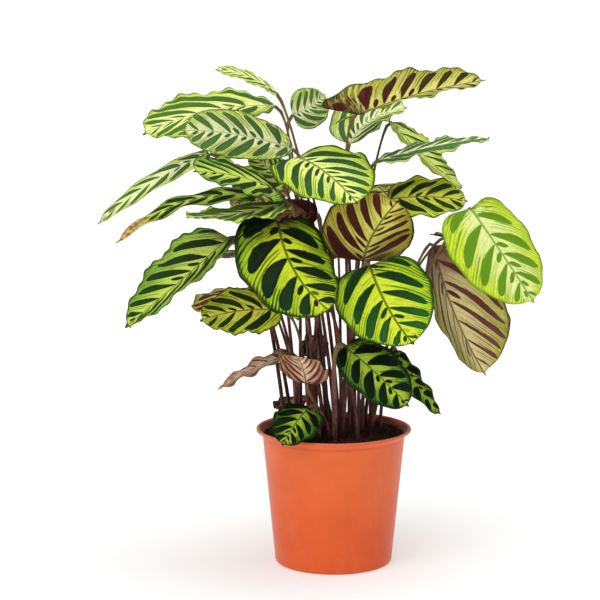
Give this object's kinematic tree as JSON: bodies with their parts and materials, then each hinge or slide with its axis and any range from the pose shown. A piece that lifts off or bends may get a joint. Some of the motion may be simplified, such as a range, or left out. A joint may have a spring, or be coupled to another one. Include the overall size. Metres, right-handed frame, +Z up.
{
  "type": "potted peacock plant",
  "caption": "Leafy houseplant with broad, feather-marked leaves on thin upright stems, standing in moist soil in a plain round plastic pot.",
  "frame": {"origin": "on the pot's axis, at the flat underside that it stands on", "axes": "+Z is up, along the pot's axis; -Y faces the viewer of the picture and +X is to that viewer's right"},
  "size_m": [0.475, 0.3917, 0.5456],
  "materials": {
    "pot": "terracotta-orange moulded plastic with a slight satin sheen",
    "soil": "moist, dark, crumbly potting soil",
    "leaf_bright": "yellow-green leaf with dark green ovals and fine lines",
    "leaf_pale": "pale green leaf with grey-green ovals and fine lines",
    "leaf_deep": "deep green leaf with nearly black ovals",
    "leaf_underside": "leaf that shows its underside, with maroon ovals on olive green"
  },
  "bodies": {
    "root": {"pot": "pot", "soil": "soil", "leaf_top_left_slim": "leaf_pale", "leaf_top_mid_left": "leaf_pale", "leaf_top_mid": "leaf_pale", "leaf_top_right_large": "leaf_underside", "leaf_top_front": "leaf_bright", "leaf_upper_left_back": "leaf_pale", "leaf_upper_left_front": "leaf_pale", "leaf_inner_pale": "leaf_pale", "leaf_left_long_upper": "leaf_pale", "leaf_left_long_lower": "leaf_deep", "leaf_left_striped": "leaf_bright", "leaf_left_pale": "leaf_pale", "leaf_centre_fold": "leaf_underside", "leaf_left_hanging": "leaf_bright", "leaf_front_centre": "leaf_bright", "leaf_front_right": "leaf_bright", "leaf_centre_underside": "leaf_underside", "leaf_right_slim": "leaf_pale", "leaf_right_back_bright": "leaf_bright", "leaf_right_mid": "leaf_deep", "leaf_right_bright": "leaf_bright", "leaf_right_underside": "leaf_underside", "leaf_low_left": "leaf_bright", "leaf_low_left_small": "leaf_underside", "leaf_low_front_small": "leaf_underside", "leaf_low_mid_behind": "leaf_deep", "leaf_low_right": "leaf_deep", "leaf_low_right_outer": "leaf_deep", "leaf_rim_small": "leaf_deep", "leaf_back_high": "leaf_bright", "leaf_back_left_high": "leaf_pale", "leaf_back_centre": "leaf_bright", "leaf_back_right": "leaf_bright", "leaf_back_left": "leaf_deep", "leaf_back_right_low": "leaf_deep", "leaf_back_low_centre": "leaf_bright", "leaf_back_low_left": "leaf_bright", "leaf_back_small": "leaf_deep", "leaf_back_small_left": "leaf_deep"}
  },
  "joints": []
}
